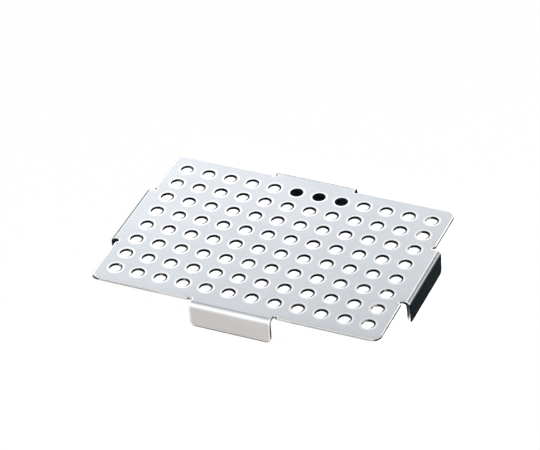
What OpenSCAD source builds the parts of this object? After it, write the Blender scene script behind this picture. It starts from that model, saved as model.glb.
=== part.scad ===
// Perforated instrument tray, bent from one sheet of stainless steel.
// A flat deck with a grid of round drain holes stands on four feet, and each
// foot is bent down from the middle of one side of the deck.
// The pieces are split where the bends start, and meet there face to face.
// The origin is the middle of the footprint, on the surface the feet stand on.

/* [Deck] */
// Width of the deck, from its left edge to its right edge
deck_w = 200; // [120:1:400]
// Depth of the deck, from its front edge to its back edge
deck_d = 139; // [100:1:300]
// Thickness of the sheet
sheet_t = 2; // [0.8:0.1:3]
// Radius of the four corners of the deck
corner_r = 6; // [1:0.5:10]

/* [Drain holes] */
// Diameter of a drain hole
hole_d = 9; // [3:0.1:10]
// Distance between the middles of two neighbouring holes, the same both ways
hole_pitch = 16; // [12:0.5:30]
// Least distance from the middle of a hole to the edge of the deck
hole_margin = 11.5; // [8:0.5:20]

/* [Feet] */
// Height of the top face of the deck above the surface the tray stands on
tray_h = 18; // [12:0.5:40]
// Width of a foot, along its side of the deck
foot_w = 56; // [30:1:70]
// Radius of the two lower corners of a foot
foot_corner_r = 4; // [1:0.5:6]
// Radius inside the bend
bend_r = 1.5; // [0.5:0.1:4]
// Length of the flat tongue from the edge of the deck to the start of the bend
tongue_l = 1.5; // [0.5:0.1:8]
// Radius of the round relief notch in the edge of the deck at each end of a tongue
relief_r = 1.5; // [0.5:0.1:3]

/* [Hidden] */
$fn = 64;
steel = [0.84, 0.86, 0.89];

// Holes across the deck and from front to back
columns = floor((deck_w - 2 * hole_margin) / hole_pitch) + 1;
rows = floor((deck_d - 2 * hole_margin) / hole_pitch) + 1;

// The bend's outer radius, and the height of the straight leg below the bend
outer_bend_r = bend_r + sheet_t;
leg_h = tray_h - outer_bend_r;

// The lower corners are no larger than the straight leg they are cut from
leg_corner_r = min(foot_corner_r, leg_h);

// The turn about Z of each side of the deck, with the front side unturned
front_turn = 0;
right_turn = 90;
back_turn = 180;
left_turn = 270;

// How far a cutting shape runs past what it cuts
spare = 1;

// Rectangle about the origin with four round corners
module rounded_rectangle(w, d, r) {
  square([w - 2 * r, d], center = true);
  square([w, d - 2 * r], center = true);
  for (x = [-1, 1], y = [-1, 1])
    translate([x * (w / 2 - r), y * (d / 2 - r)])
      circle(r = r);
}

// Two relief notches beside the tongue that leaves the edge y = -edge
module relief_notches(edge) {
  for (side = [-1, 1])
    translate([side * (foot_w / 2 + relief_r), -edge])
      circle(r = relief_r);
}

// Flat outline of the deck: the rounded rectangle with its tongues and notches
module deck_outline() {
  difference() {
    union() {
      rounded_rectangle(deck_w, deck_d, corner_r);
      square([foot_w, deck_d + 2 * tongue_l], center = true);
      square([deck_w + 2 * tongue_l, foot_w], center = true);
    }
    for (turn = [front_turn, back_turn])
      rotate(turn)
        relief_notches(deck_d / 2);
    for (turn = [right_turn, left_turn])
      rotate(turn)
        relief_notches(deck_w / 2);
  }
}

// Drain holes in a square grid about the middle of the deck
module drain_holes() {
  for (column = [0 : columns - 1], row = [0 : rows - 1])
    translate([
      (column - (columns - 1) / 2) * hole_pitch,
      (row - (rows - 1) / 2) * hole_pitch,
      -spare
    ])
      cylinder(h = sheet_t + 2 * spare, d = hole_d);
}

// Section through a foot: the leg below, and the quarter bend that starts at x = 0
module foot_section() {
  translate([bend_r, 0])
    square([sheet_t, leg_h]);
  translate([0, leg_h])
    intersection() {
      difference() {
        circle(r = outer_bend_r);
        circle(r = bend_r);
      }
      square(outer_bend_r + spare);
    }
}

// Outline of a foot seen from outside, with its two lower corners rounded
module foot_outline() {
  translate([-foot_w / 2, leg_corner_r])
    square([foot_w, tray_h + spare - leg_corner_r]);
  translate([-foot_w / 2 + leg_corner_r, 0])
    square([foot_w - 2 * leg_corner_r, tray_h]);
  for (side = [-1, 1])
    translate([side * (foot_w / 2 - leg_corner_r), leg_corner_r])
      circle(r = leg_corner_r);
}

// One foot, on the side of the deck given by its turn and the distance of its edge
module foot(turn, edge) {
  rotate([0, 0, turn])
    translate([0, -edge - tongue_l, 0])
      intersection() {
        rotate([90, 0, -90])
          linear_extrude(foot_w + 2 * spare, center = true)
            foot_section();
        rotate([90, 0, 0])
          translate([0, 0, -spare])
            linear_extrude(outer_bend_r + 2 * spare)
              foot_outline();
      }
}

module deck() {
  color(steel)
    translate([0, 0, tray_h - sheet_t])
      difference() {
        linear_extrude(sheet_t)
          deck_outline();
        drain_holes();
      }
}

module front_foot() {
  color(steel)
    foot(front_turn, deck_d / 2);
}

module right_foot() {
  color(steel)
    foot(right_turn, deck_w / 2);
}

module back_foot() {
  color(steel)
    foot(back_turn, deck_d / 2);
}

module left_foot() {
  color(steel)
    foot(left_turn, deck_w / 2);
}

deck();
front_foot();
right_foot();
back_foot();
left_foot();
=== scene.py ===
import math

import bmesh
import bpy
from mathutils import Matrix, Vector


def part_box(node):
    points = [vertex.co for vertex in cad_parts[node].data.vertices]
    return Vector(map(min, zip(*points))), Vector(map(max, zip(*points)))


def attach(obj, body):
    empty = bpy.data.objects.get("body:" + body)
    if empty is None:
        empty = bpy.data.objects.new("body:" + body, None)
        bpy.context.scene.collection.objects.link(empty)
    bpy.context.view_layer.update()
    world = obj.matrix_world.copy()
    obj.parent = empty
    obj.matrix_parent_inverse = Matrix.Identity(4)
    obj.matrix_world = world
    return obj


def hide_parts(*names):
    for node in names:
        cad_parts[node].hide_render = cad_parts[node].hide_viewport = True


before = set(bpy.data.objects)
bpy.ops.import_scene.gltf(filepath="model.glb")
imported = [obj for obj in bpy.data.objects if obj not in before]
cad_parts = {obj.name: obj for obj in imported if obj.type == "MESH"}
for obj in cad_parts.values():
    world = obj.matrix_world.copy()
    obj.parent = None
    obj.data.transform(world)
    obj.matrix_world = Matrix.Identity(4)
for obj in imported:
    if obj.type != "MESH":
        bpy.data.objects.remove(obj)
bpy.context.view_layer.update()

# The sheet that every piece is cut and bent from, in metres
sheet = {
    "outline": (0.0010, 0.00025),  # how far a rolled edge reaches onto a face, and down the cut wall
    "holes": (0.0015, 0.00005),
    "rimSteps": 3,
    "fold": 1,  # edges that turn more than this, in radians, can be rolled
    "crease": 0.7,  # edges that turn more than this stay sharp
    "flat": 0.99999,  # a face that looks up or down more than this is the sheet's own face
    "upright": 0.01,  # a face that looks up or down less than this is a cut wall
    "near": 1e-6,  # two heights or places closer than this are the same
    "merge": 1e-5,  # corners closer than this become one
}

deckLow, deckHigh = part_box("deck")
footLow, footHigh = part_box("front_foot")
thickness = deckHigh.z - deckLow.z
bendOuter = footHigh.y - footLow.y  # outside radius of a bend
halfFoot = footHigh.x
print("frame loaded, sheet", round(thickness * 1000, 2), "mm")


# Finishes

satin = {
    "dark": (0.670, 0.690, 0.710, 1),
    "light": (0.710, 0.730, 0.750, 1),
    "tone": (0.35, 0.65),  # where the clouds are dark, and where they are light
    "cloudScale": 30,
    "cloudDetail": 3,
    "grainScale": 900,
    "grainDetail": 2,
    "roughLow": 0.28,
    "roughHigh": 0.36,
    "bumpHeight": 0.00001,
}


def newMaterial(name):
    material = bpy.data.materials.new(name)
    material.use_nodes = True
    nodes = material.node_tree.nodes
    return material, nodes, material.node_tree.links, nodes["Principled BSDF"]


# Place on the flat blank, so that grain runs over the bends as it does on one sheet
def blankPlace(nodes):
    place = nodes.new("ShaderNodeAttribute")
    place.attribute_name = "blank"
    return place.outputs["Vector"]


def addNoise(nodes, links, place, scale, detail):
    noise = nodes.new("ShaderNodeTexNoise")
    noise.inputs["Scale"].default_value = scale
    noise.inputs["Detail"].default_value = detail
    links.new(place, noise.inputs["Vector"])
    return noise.outputs["Fac"]


def addTone(nodes, links, factor, look):
    tone = nodes.new("ShaderNodeValToRGB")
    for element, position, colour in zip(tone.color_ramp.elements, look["tone"], (look["dark"], look["light"])):
        element.position = position
        element.color = colour
    links.new(factor, tone.inputs["Fac"])
    return tone.outputs["Color"]


def addRange(nodes, links, factor, low, high):
    spread = nodes.new("ShaderNodeMapRange")
    spread.inputs["To Min"].default_value = low
    spread.inputs["To Max"].default_value = high
    links.new(factor, spread.inputs["Value"])
    return spread.outputs["Result"]


def addBump(nodes, links, height, distance):
    bump = nodes.new("ShaderNodeBump")
    bump.inputs["Strength"].default_value = 1
    bump.inputs["Distance"].default_value = distance
    links.new(height, bump.inputs["Height"])
    return bump.outputs["Normal"]


def makeSatinSteel():
    material, nodes, links, shader = newMaterial("satinSteel")
    shader.inputs["Metallic"].default_value = 1
    place = blankPlace(nodes)
    cloud = addNoise(nodes, links, place, satin["cloudScale"], satin["cloudDetail"])
    links.new(addTone(nodes, links, cloud, satin), shader.inputs["Base Color"])
    grain = addNoise(nodes, links, place, satin["grainScale"], satin["grainDetail"])
    roughness = addRange(nodes, links, grain, satin["roughLow"], satin["roughHigh"])
    links.new(roughness, shader.inputs["Roughness"])
    links.new(addBump(nodes, links, grain, satin["bumpHeight"]), shader.inputs["Normal"])
    return material


# The rolled edges. Their colour is lighter than the faces'. That lift is a painted highlight, on top of the
# light that the rolled shape catches itself
rimPaintedHighlight = {
    "dark": (0.91, 0.92, 0.93, 1),
    "light": (0.96, 0.965, 0.97, 1),
    "tone": (0.3, 0.7),
    "scale": 700,
    "detail": 2,
    "roughness": 0.22,
}

# The sheared walls of the holes and the outline
cut = {
    "dark": (0.70, 0.70, 0.71, 1),
    "light": (0.84, 0.84, 0.85, 1),
    "tone": (0.3, 0.7),
    "scale": 1500,
    "detail": 2,
    "roughness": 0.24,
}


def makeEdgeSteel(name, look):
    material, nodes, links, shader = newMaterial(name)
    shader.inputs["Metallic"].default_value = 1
    shader.inputs["Roughness"].default_value = look["roughness"]
    grain = addNoise(nodes, links, blankPlace(nodes), look["scale"], look["detail"])
    links.new(addTone(nodes, links, grain, look), shader.inputs["Base Color"])
    return material


# The rolled edges take the lighter colour with the painted highlight
finishes = [makeSatinSteel(), makeEdgeSteel("rimWithPaintedHighlight", rimPaintedHighlight), makeEdgeSteel("cutWall", cut)]
faceFinish, rimFinish, wallFinish = range(3)
print("finishes ready")


# Shared steps of every piece: a flat outline gets its thickness and its rolled edges

def thicken(bm):
    bmesh.ops.recalc_face_normals(bm, faces=bm.faces[:])
    geometry = bmesh.ops.extrude_face_region(bm, geom=bm.faces[:], use_keep_orig=True)["geom"]
    risen = [g for g in geometry if isinstance(g, bmesh.types.BMVert)]
    bmesh.ops.translate(bm, verts=risen, vec=(0, 0, thickness))
    bmesh.ops.recalc_face_normals(bm, faces=bm.faces[:])


# The sheet is stretched upright while its edges are bevelled, so each comes out wide and shallow
def rollEdges(bm, rim, isRolled):
    width, depth = rim
    folds = [e for e in bm.edges if e.is_manifold and e.calc_face_angle() > sheet["fold"]]
    edges = [e for e in folds if isLevel(e) and isRolled(e)]
    bmesh.ops.scale(bm, verts=bm.verts[:], vec=(1, 1, width / depth))
    bmesh.ops.bevel(
        bm, geom=edges, offset=width, offset_type="OFFSET", affect="EDGES",
        segments=sheet["rimSteps"], profile=0.5, material=-1, clamp_overlap=True,
    )
    bmesh.ops.scale(bm, verts=bm.verts[:], vec=(1, 1, depth / width))


def isLevel(edge):
    return abs(edge.verts[0].co.z - edge.verts[1].co.z) < sheet["near"]


# Faces, rolled edges and cut walls take their finishes while the piece is still flat
def giveFinishes(bm):
    for face in bm.faces:
        upward = abs(face.normal.z)
        if upward > sheet["flat"]:
            face.material_index = faceFinish
        elif upward < sheet["upright"]:
            face.material_index = wallFinish
        else:
            face.material_index = rimFinish
        face.smooth = True
    for edge in bm.edges:
        edge.smooth = edge.calc_face_angle() < sheet["crease"]


# Where each point of the flat piece lies on the blank. A foot starts out from the middle, on its own side
def keepBlankPlace(bm, turn, start):
    layer = bm.verts.layers.float_vector.new("blank")
    for vert in bm.verts:
        vert[layer] = Matrix.Rotation(turn, 3, "Z") @ (vert.co + Vector((0, -start, 0)))


def finishPiece(bm, name, node):
    mesh = bpy.data.meshes.new(name)
    bm.to_mesh(mesh)
    print(name, "faces", len(bm.faces), "open edges", sum(not e.is_manifold for e in bm.edges))
    bm.free()
    for finish in finishes:
        mesh.materials.append(finish)
    piece = bpy.data.objects.new(name, mesh)
    bpy.context.scene.collection.objects.link(piece)
    shading = piece.modifiers.new("evenShading", "WEIGHTED_NORMAL")
    shading.weight = 100
    shading.keep_sharp = True
    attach(piece, "root")
    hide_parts(node)


# Deck

deck = {
    "columns": 12,
    "rows": 8,
    "pitch": 0.016,
    "hole": 0.009,
    "holeSteps": 32,
    "corner": 0.006,
    "cornerSteps": 10,
    "tongue": 0.0015,  # flat part between the deck's edge and a bend
    "relief": 0.0015,  # radius of the notch at each end of a tongue
    "reliefSteps": 10,
}


def lineTo(bm, vert, x, y):
    end = bm.verts.new((x, y, 0))
    bm.edges.new((vert, end))
    return end


# An arc of so many degrees about the point x, y
def arcTo(bm, vert, x, y, degrees, steps):
    swept = bmesh.ops.spin(
        bm, geom=[vert], cent=(x, y, 0), axis=(0, 0, 1), angle=math.radians(degrees),
        steps=steps, use_duplicate=False,
    )
    return swept["geom_last"][0]


# A quarter of the outline from the middle of the front tongue to the middle of the right one
def drawQuarter(bm):
    edgeX, edgeY = deckHigh.x - deck["tongue"], deckHigh.y - deck["tongue"]
    corner, relief = deck["corner"], deck["relief"]
    vert = bm.verts.new((0, -deckHigh.y, 0))
    vert = lineTo(bm, vert, halfFoot, -deckHigh.y)
    vert = lineTo(bm, vert, halfFoot, -edgeY)
    vert = arcTo(bm, vert, halfFoot + relief, -edgeY, -180, deck["reliefSteps"])
    vert = lineTo(bm, vert, edgeX - corner, -edgeY)
    vert = arcTo(bm, vert, edgeX - corner, -edgeY + corner, 90, deck["cornerSteps"])
    vert = lineTo(bm, vert, edgeX, -halfFoot - 2 * relief)
    vert = arcTo(bm, vert, edgeX, -halfFoot - relief, -180, deck["reliefSteps"])
    vert = lineTo(bm, vert, deckHigh.x, -halfFoot)
    lineTo(bm, vert, deckHigh.x, 0)


# One hole in its square of sheet
def makeHoleCell():
    bm = bmesh.new()
    half = deck["pitch"] / 2
    bmesh.ops.create_circle(bm, cap_ends=False, segments=deck["holeSteps"], radius=deck["hole"] / 2)
    border = bmesh.ops.create_circle(bm, cap_ends=False, segments=deck["holeSteps"], radius=half)["verts"]
    for vert in border:
        vert.co *= half / max(abs(vert.co.x), abs(vert.co.y))
    bmesh.ops.bridge_loops(bm, edges=bm.edges[:])
    mesh = bpy.data.meshes.new("holeCell")
    bm.to_mesh(mesh)
    bm.free()
    return mesh


def layHoles(bm):
    cell = makeHoleCell()
    for column in range(deck["columns"]):
        for row in range(deck["rows"]):
            across = (column - (deck["columns"] - 1) / 2) * deck["pitch"]
            along = (row - (deck["rows"] - 1) / 2) * deck["pitch"]
            cell.transform(Matrix.Translation((across, along, 0)))
            bm.from_mesh(cell)
            cell.transform(Matrix.Translation((-across, -along, 0)))
    bpy.data.meshes.remove(cell)


gridX = deck["columns"] * deck["pitch"] / 2
gridY = deck["rows"] * deck["pitch"] / 2


def isOnGridBorder(edge):
    return edge.is_boundary and all(
        abs(abs(v.co.x) - gridX) < sheet["near"] or abs(abs(v.co.y) - gridY) < sheet["near"]
        for v in edge.verts
    )


def isInGrid(edge):
    return all(abs(v.co.x) < gridX and abs(v.co.y) < gridY for v in edge.verts)


# Outline edges without the joints to the feet
def isDeckRim(edge):
    alongX = all(abs(v.co.x) > deckHigh.x - sheet["near"] for v in edge.verts)
    alongY = all(abs(v.co.y) > deckHigh.y - sheet["near"] for v in edge.verts)
    return not (isInGrid(edge) or alongX or alongY)


def buildDeck():
    bm = bmesh.new()
    drawQuarter(bm)
    for axis in ("X", "Y"):
        bmesh.ops.mirror(bm, geom=bm.verts[:] + bm.edges[:], axis=axis, merge_dist=sheet["merge"])
    layHoles(bm)
    bmesh.ops.remove_doubles(bm, verts=bm.verts[:], dist=sheet["merge"])
    border = [e for e in bm.edges if e.is_wire or isOnGridBorder(e)]
    bmesh.ops.triangle_fill(bm, use_beauty=True, use_dissolve=False, edges=border)
    thicken(bm)
    rollEdges(bm, sheet["holes"], isInGrid)
    rollEdges(bm, sheet["outline"], isDeckRim)
    bmesh.ops.translate(bm, verts=bm.verts[:], vec=(0, 0, deckLow.z))
    bmesh.ops.recalc_face_normals(bm, faces=bm.faces[:])
    giveFinishes(bm)
    keepBlankPlace(bm, 0, 0)
    finishPiece(bm, "deck_sheet", "deck")


buildDeck()
print("deck built")


# Feet

foot = {
    "corner": 0.004,  # radius of the two lower corners
    "cornerSteps": 8,
    "bendSteps": 14,
}


def isFootRim(edge):
    return any(abs(v.co.y) > sheet["near"] for v in edge.verts)


# The flat blank of a foot runs from the joint at y = 0 to its lower edge
def cutBlank(bm, length):
    bmesh.ops.create_grid(bm, x_segments=1, y_segments=1, size=0.5)
    bmesh.ops.scale(bm, verts=bm.verts[:], vec=(2 * halfFoot, length, 1))
    bmesh.ops.translate(bm, verts=bm.verts[:], vec=(0, -length / 2, 0))
    lower = [v for v in bm.verts if v.co.y < -length / 2]
    bmesh.ops.bevel(
        bm, geom=lower, offset=foot["corner"], offset_type="OFFSET", affect="VERTICES",
        segments=foot["cornerSteps"], profile=0.5, material=-1, clamp_overlap=True,
    )


# The strip beside the joint turns through a right angle, and the leg follows it
def bendDown(bm, bendLength):
    for step in range(1, foot["bendSteps"] + 1):
        bmesh.ops.bisect_plane(
            bm, geom=bm.verts[:] + bm.edges[:] + bm.faces[:], dist=1e-7,
            plane_co=(0, -bendLength * step / foot["bendSteps"], 0), plane_no=(0, 1, 0),
        )
    bendInner = bendOuter - thickness
    for vert in bm.verts:
        run = -vert.co.y
        radius = bendInner + vert.co.z
        angle = min(run / bendLength, 1) * math.pi / 2
        below = max(run - bendLength, 0)
        vert.co.y = -radius * math.sin(angle)
        vert.co.z = radius * math.cos(angle) - below + deckHigh.z - bendOuter


# Bent as the front foot is, moved out from the middle by start, and turned to its own side
def buildFoot(name, node, turn, start):
    bendLength = (bendOuter - thickness / 2) * math.pi / 2
    bm = bmesh.new()
    cutBlank(bm, bendLength + deckHigh.z - bendOuter)
    thicken(bm)
    rollEdges(bm, sheet["outline"], isFootRim)
    bmesh.ops.recalc_face_normals(bm, faces=bm.faces[:])
    giveFinishes(bm)
    keepBlankPlace(bm, turn, start)
    bendDown(bm, bendLength)
    bmesh.ops.translate(bm, verts=bm.verts[:], vec=(0, -start, 0))
    bmesh.ops.rotate(bm, verts=bm.verts[:], cent=(0, 0, 0), matrix=Matrix.Rotation(turn, 3, "Z"))
    finishPiece(bm, name, node)


buildFoot("front_foot_sheet", "front_foot", 0, deckHigh.y)
buildFoot("right_foot_sheet", "right_foot", math.pi / 2, deckHigh.x)
buildFoot("back_foot_sheet", "back_foot", math.pi, deckHigh.y)
buildFoot("left_foot_sheet", "left_foot", -math.pi / 2, deckHigh.x)
print("feet built")


# Camera

viewpoint = {
    "azimuth": 25.72,  # degrees, as the next two are
    "elevation": 37.755,
    "roll": -4.222,
    "distance": 1.9523,  # from the middle of the deck
    "lens": 200.3,  # mm, as the sensor is
    "sensor": 36,
    "aimRight": -0.00308,  # where it looks, from the middle of the deck
    "aimUp": 0.01232,
}


def addCamera():
    turn = math.radians(viewpoint["azimuth"])
    tilt = math.radians(viewpoint["elevation"])
    lean = math.radians(viewpoint["roll"])
    middle = Vector((0, 0, deckHigh.z))
    toCamera = Vector((math.sin(turn) * math.cos(tilt), -math.cos(turn) * math.cos(tilt), math.sin(tilt)))
    level = Vector((math.cos(turn), math.sin(turn), 0))
    across = level * math.cos(lean) + toCamera.cross(level) * math.sin(lean)
    upward = toCamera.cross(across)
    place = middle + toCamera * viewpoint["distance"]
    aim = middle + across * viewpoint["aimRight"] + upward * viewpoint["aimUp"]
    backward = (place - aim).normalized()
    sideways = (across - backward * across.dot(backward)).normalized()
    turned = Matrix((sideways, backward.cross(sideways), backward)).transposed()
    data = bpy.data.cameras.new("camera")
    data.lens = viewpoint["lens"]
    data.sensor_width = viewpoint["sensor"]
    camera = bpy.data.objects.new("camera", data)
    camera.matrix_world = Matrix.Translation(place) @ turned.to_4x4()
    bpy.context.scene.collection.objects.link(camera)
    bpy.context.scene.camera = camera


addCamera()
print("camera ready")


# Floor, light and what the metal mirrors

def addMath(nodes, links, operation, *values):
    node = nodes.new("ShaderNodeMath")
    node.operation = operation
    for socket, value in zip(node.inputs, values):
        if isinstance(value, (int, float)):
            socket.default_value = value
        else:
            links.new(value, socket)
    return node.outputs[0]


def addLimits(nodes, links, value, low, high):
    return addMath(nodes, links, "MINIMUM", addMath(nodes, links, "MAXIMUM", value, low), high)


# 1 for what the camera sees, straight or in metal and glass, and 0 for light on other things
def pathMask(nodes, links):
    path = nodes.new("ShaderNodeLightPath")
    mask = path.outputs["Is Camera Ray"]
    for ray in ("Is Glossy Ray", "Is Transmission Ray"):
        mask = addMath(nodes, links, "MAXIMUM", mask, path.outputs[ray])
    return mask


# A flat piece of the studio, which isn't part of the tray
def addPlane(name, width, height, place):
    bm = bmesh.new()
    bmesh.ops.create_grid(bm, x_segments=1, y_segments=1, size=0.5)
    bmesh.ops.scale(bm, verts=bm.verts[:], vec=(width, height, 1))
    bmesh.ops.transform(bm, matrix=place, verts=bm.verts[:])
    mesh = bpy.data.meshes.new(name)
    bm.to_mesh(mesh)
    bm.free()
    plane = bpy.data.objects.new(name, mesh)
    bpy.context.scene.collection.objects.link(plane)
    return plane


# A material without its usual shader, with a glow in its place
def newGlow(name):
    material, nodes, links, shader = newMaterial(name)
    nodes.remove(shader)
    return material, nodes, links, nodes.new("ShaderNodeEmission")


# The floor shows white. Only its covered part, under and behind the tray, shows the tray's shade in full
floorLook = {
    "glow": 0.98,
    "faint": 0.005,  # colour that is added to the glow, for what little shade the plain part shows
    "covered": 0.4,  # colour of the covered part, where the lamp makes it white
    "bounce": 0.8,  # colour for light that other things get from the floor
    "low": (-0.111, -0.0515),  # limits of the covered part
    "high": (0.13, 0.12),
    "soft": 0.001,
    "width": 12,
    "z": -0.0001,
}


def addDiffuse(nodes, level):
    shader = nodes.new("ShaderNodeBsdfDiffuse")
    shader.inputs["Color"].default_value = (level, level, level, 1)
    return shader.outputs[0]


def mixShaders(nodes, links, factor, first, second):
    mix = nodes.new("ShaderNodeMixShader")
    links.new(factor, mix.inputs[0])
    links.new(first, mix.inputs[1])
    links.new(second, mix.inputs[2])
    return mix.outputs[0]


# 1 inside the covered part of the floor, 0 outside it, with a soft border
def coveredMask(nodes, links):
    place = nodes.new("ShaderNodeTexCoord")
    parts = nodes.new("ShaderNodeSeparateXYZ")
    links.new(place.outputs["Object"], parts.inputs[0])
    masks = []
    for axis, low, high in zip("XY", floorLook["low"], floorLook["high"]):
        shift = addMath(nodes, links, "SUBTRACT", parts.outputs[axis], (low + high) / 2)
        away = addMath(nodes, links, "ABSOLUTE", shift)
        inside = addMath(nodes, links, "SUBTRACT", (high - low) / 2, away)
        steps = addMath(nodes, links, "DIVIDE", inside, floorLook["soft"])
        masks.append(addLimits(nodes, links, steps, 0, 1))
    return addMath(nodes, links, "MULTIPLY", *masks)


def addFloor():
    width = floorLook["width"]
    floor = addPlane("floor", width, width, Matrix.Translation((0, 0, floorLook["z"])))
    material, nodes, links, glow = newGlow("floorWhite")
    glow.inputs["Strength"].default_value = floorLook["glow"]
    plain = nodes.new("ShaderNodeAddShader")
    links.new(glow.outputs[0], plain.inputs[0])
    links.new(addDiffuse(nodes, floorLook["faint"]), plain.inputs[1])
    covered = addDiffuse(nodes, floorLook["covered"])
    shown = mixShaders(nodes, links, coveredMask(nodes, links), plain.outputs[0], covered)
    bounce = addDiffuse(nodes, floorLook["bounce"])
    whole = mixShaders(nodes, links, pathMask(nodes, links), bounce, shown)
    links.new(whole, nodes["Material Output"].inputs["Surface"])
    floor.data.materials.append(material)
    return floor


# The lamp stands a little to the right of the camera, so the shade shows as thin arms inside the holes.
# It lights the floor alone
lamp = {
    "place": (0.728, -1.350, 1.196),
    "power": 740,
    "radius": 0.015,
}


def addLamp(floor):
    data = bpy.data.lights.new("lamp", "POINT")
    data.energy = lamp["power"]
    data.shadow_soft_size = lamp["radius"]
    bulb = bpy.data.objects.new("lamp", data)
    bulb.location = lamp["place"]
    bulb.visible_glossy = False
    bpy.context.scene.collection.objects.link(bulb)
    lampLights = bpy.data.collections.new("lampLights")
    lampLights.objects.link(floor)
    bulb.light_linking.receiver_collection = lampLights


addLamp(addFloor())
print("floor and lamp ready")


# What the metal mirrors: pale panels and dark gaps beside them, and cards lying on the ground that paint the
# floor's shade under and around the tray, dark all round and a lighter, warm shade in front.
# A card faces its aim, or lies flat where it has none, and a slope is the change of its glow for each metre
deckMiddle = (0, 0, deckHigh.z)
black = (0.002, 0.003, 0.004)
cards = {
    "backPanel": {
        "middle": (-0.274, 0.570, 0.507), "size": (1.3, 1.3), "colour": (1.035, 1.055, 1.085),
        "aim": deckMiddle, "slope": (-1.3, 1.2, -1.9), "limits": (0.35, 1.6),
    },
    "backGap": {"middle": (-0.30, 0.62, 0.08), "size": (1.4, 0.16), "colour": black, "aim": (0, 0, 0.08)},
    "leftGap": {"middle": (-0.74, 0.62, 0.25), "size": (0.5, 0.24), "colour": black, "aim": (-0.1, 0, 0.017)},
    "frontPanel": {
        "middle": (-0.31, -0.68, 0.45), "size": (1.2, 0.8), "colour": (1.6, 1.58, 1.54), "aim": deckMiddle,
    },
    "rightPanel": {
        "middle": (0.145, 0.44, 0.44), "size": (0.24, 0.18), "colour": (1.8, 1.8, 1.8), "aim": (0.1, 0, 0.015),
    },
    "rightStrip": {"middle": (0.46, 0.60, 0.49), "size": (0.42, 0.36), "colour": black, "aim": (0.1, 0, 0.015)},
    # Painted shade: these cards lie on the floor, unseen by the camera, and show the metal a dark, shaded floor
    # under and around the tray
    "paintedShadeUnder": {"middle": (0, -0.007, 0.0002), "size": (0.203, 0.161), "colour": black},
    "paintedShadeRight": {"middle": (0.8026, 0.6, 0.0002), "size": (1.395, 1.8), "colour": (0.001, 0.005, 0.008)},
    "paintedShadeLeft": {"middle": (-0.8026, 0.6, 0.0002), "size": (1.395, 1.44), "colour": black},
    "paintedShadeBack": {"middle": (0, 0.7873, 0.0002), "size": (0.21, 1.425), "colour": black},
    "paintedShadeCorner": {"middle": (0.2, -0.14, 0.0002), "size": (0.19, 0.12), "colour": black},
    # Painted shade, lighter and warm: the floor in front of the front foot as the metal sees it
    "warmPaintedShadeFront": {"middle": (-0.015, -0.088, 0.0003), "size": (0.092, 0.026), "colour": (0.827, 0.769, 0.722)},
}


# Strength that is 1 at the middle, changes along the slope, and stays within its limits
def addSlope(nodes, links, middle, slope, limits):
    place = nodes.new("ShaderNodeTexCoord")
    along = nodes.new("ShaderNodeVectorMath")
    along.operation = "DOT_PRODUCT"
    along.inputs[1].default_value = slope
    links.new(place.outputs["Object"], along.inputs[0])
    strength = addMath(nodes, links, "ADD", along.outputs["Value"], 1 - Vector(middle).dot(Vector(slope)))
    return addLimits(nodes, links, strength, *limits)


def addCard(name, middle, size, colour, aim=None, slope=None, limits=(0, 1)):
    place = Matrix.Translation(middle)
    if aim:
        place = place @ (Vector(aim) - Vector(middle)).to_track_quat("Z", "Y").to_matrix().to_4x4()
    card = addPlane(name, size[0], size[1], place)
    card.visible_camera = False
    card.visible_diffuse = False
    card.visible_shadow = False
    material, nodes, links, glow = newGlow(name)
    glow.inputs["Color"].default_value = colour + (1,)
    if slope:
        links.new(addSlope(nodes, links, middle, slope, limits), glow.inputs["Strength"])
    links.new(glow.outputs[0], nodes["Material Output"].inputs["Surface"])
    card.data.materials.append(material)


for name, card in cards.items():
    addCard(name, **card)
print("cards ready")


# Strength of the world for light, and as the camera and the metal see it
studio = {"light": 0.7, "shown": 1.0}


def addWorld():
    world = bpy.data.worlds.new("studio")
    world.use_nodes = True
    bpy.context.scene.world = world
    nodes, links = world.node_tree.nodes, world.node_tree.links
    strength = addRange(nodes, links, pathMask(nodes, links), studio["light"], studio["shown"])
    nodes["Background"].inputs["Color"].default_value = (1, 1, 1, 1)
    links.new(strength, nodes["Background"].inputs["Strength"])


addWorld()
bpy.context.scene.view_settings.view_transform = "Standard"
print("stage ready")
